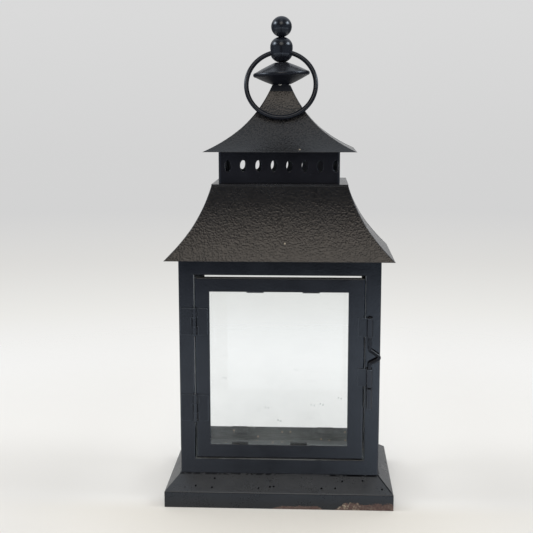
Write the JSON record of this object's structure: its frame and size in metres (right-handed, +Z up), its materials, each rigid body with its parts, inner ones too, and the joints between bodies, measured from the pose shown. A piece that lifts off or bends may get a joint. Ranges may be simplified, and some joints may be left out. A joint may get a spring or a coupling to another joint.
{
  "type": "candle lantern",
  "caption": "Upright rectangular sheet-metal candle lantern with glazed sides, a hinged and latched front door, flared two-tier vented roof, ball finial and swinging carry ring.",
  "frame": {"origin": "middle of the plinth's footprint, at the surface that the lantern stands on", "axes": "+Z up, the door faces -Y, +X towards the latch side"},
  "size_m": [0.1556, 0.1, 0.3305],
  "materials": {
    "body_paint": "satin black paint with fine grit",
    "roof_paint": "satin charcoal paint with a hammered grain",
    "finial_paint": "semi-gloss black paint",
    "hardware_paint": "satin black paint over hinges and latch",
    "plain_steel": "plain zinc-plated rod and nut",
    "glass": "clear sheet glass"
  },
  "bodies": {
    "lantern": {"plinth_front": "body_paint", "plinth_back": "body_paint", "plinth_left": "body_paint", "plinth_right": "body_paint", "floor_plate": "body_paint", "front_frame": "body_paint", "back_frame": "body_paint", "left_frame": "body_paint", "right_frame": "body_paint", "back_glass": "glass", "left_glass": "glass", "right_glass": "glass", "pane_clips": "body_paint", "lower_roof_front": "roof_paint", "lower_roof_back": "roof_paint", "lower_roof_left": "roof_paint", "lower_roof_right": "roof_paint", "lower_soffit": "body_paint", "roof_ledge": "roof_paint", "vent_band": "body_paint", "upper_roof_front": "roof_paint", "upper_roof_back": "roof_paint", "upper_roof_left": "roof_paint", "upper_roof_right": "roof_paint", "upper_soffit": "body_paint", "neck_block": "finial_paint", "saucer_lower": "finial_paint", "saucer_upper": "finial_paint", "ring_ball": "finial_paint", "top_ball": "finial_paint", "finial_rod": "plain_steel", "finial_stud": "plain_steel", "apex_washer": "plain_steel", "apex_nut": "plain_steel", "lower_hinge_post_leaf": "hardware_paint", "upper_hinge_post_leaf": "hardware_paint", "lower_hinge_pin": "hardware_paint", "upper_hinge_pin": "hardware_paint", "latch_keeper": "hardware_paint"},
    "door": {"door_frame": "body_paint", "door_glass": "glass", "door_glass_clips": "body_paint", "lower_hinge_door_leaf": "hardware_paint", "upper_hinge_door_leaf": "hardware_paint", "latch_lower_strap": "hardware_paint", "latch_upper_strap": "hardware_paint"},
    "latch_bolt": {"latch_bolt": "hardware_paint"},
    "carry_ring": {"carry_ring": "finial_paint"}
  },
  "joints": [
    {"name": "door_hinge", "type": "hinge", "parent": "lantern", "child": "door", "pos_m": [-0.05738, -0.037, 0.0951], "axis": [0, 0, -1], "range_deg": [0, 170]},
    {"name": "bolt_slide", "type": "slide", "parent": "door", "child": "latch_bolt", "axis": [0, 0, 1], "range_m": [-0.0023, 0.0076]},
    {"name": "ring_swing", "type": "hinge", "parent": "lantern", "child": "carry_ring", "pos_m": [0, 0, 0.30622], "axis": [-1, 0, 0], "range_deg": [0, 318]}
  ]
}
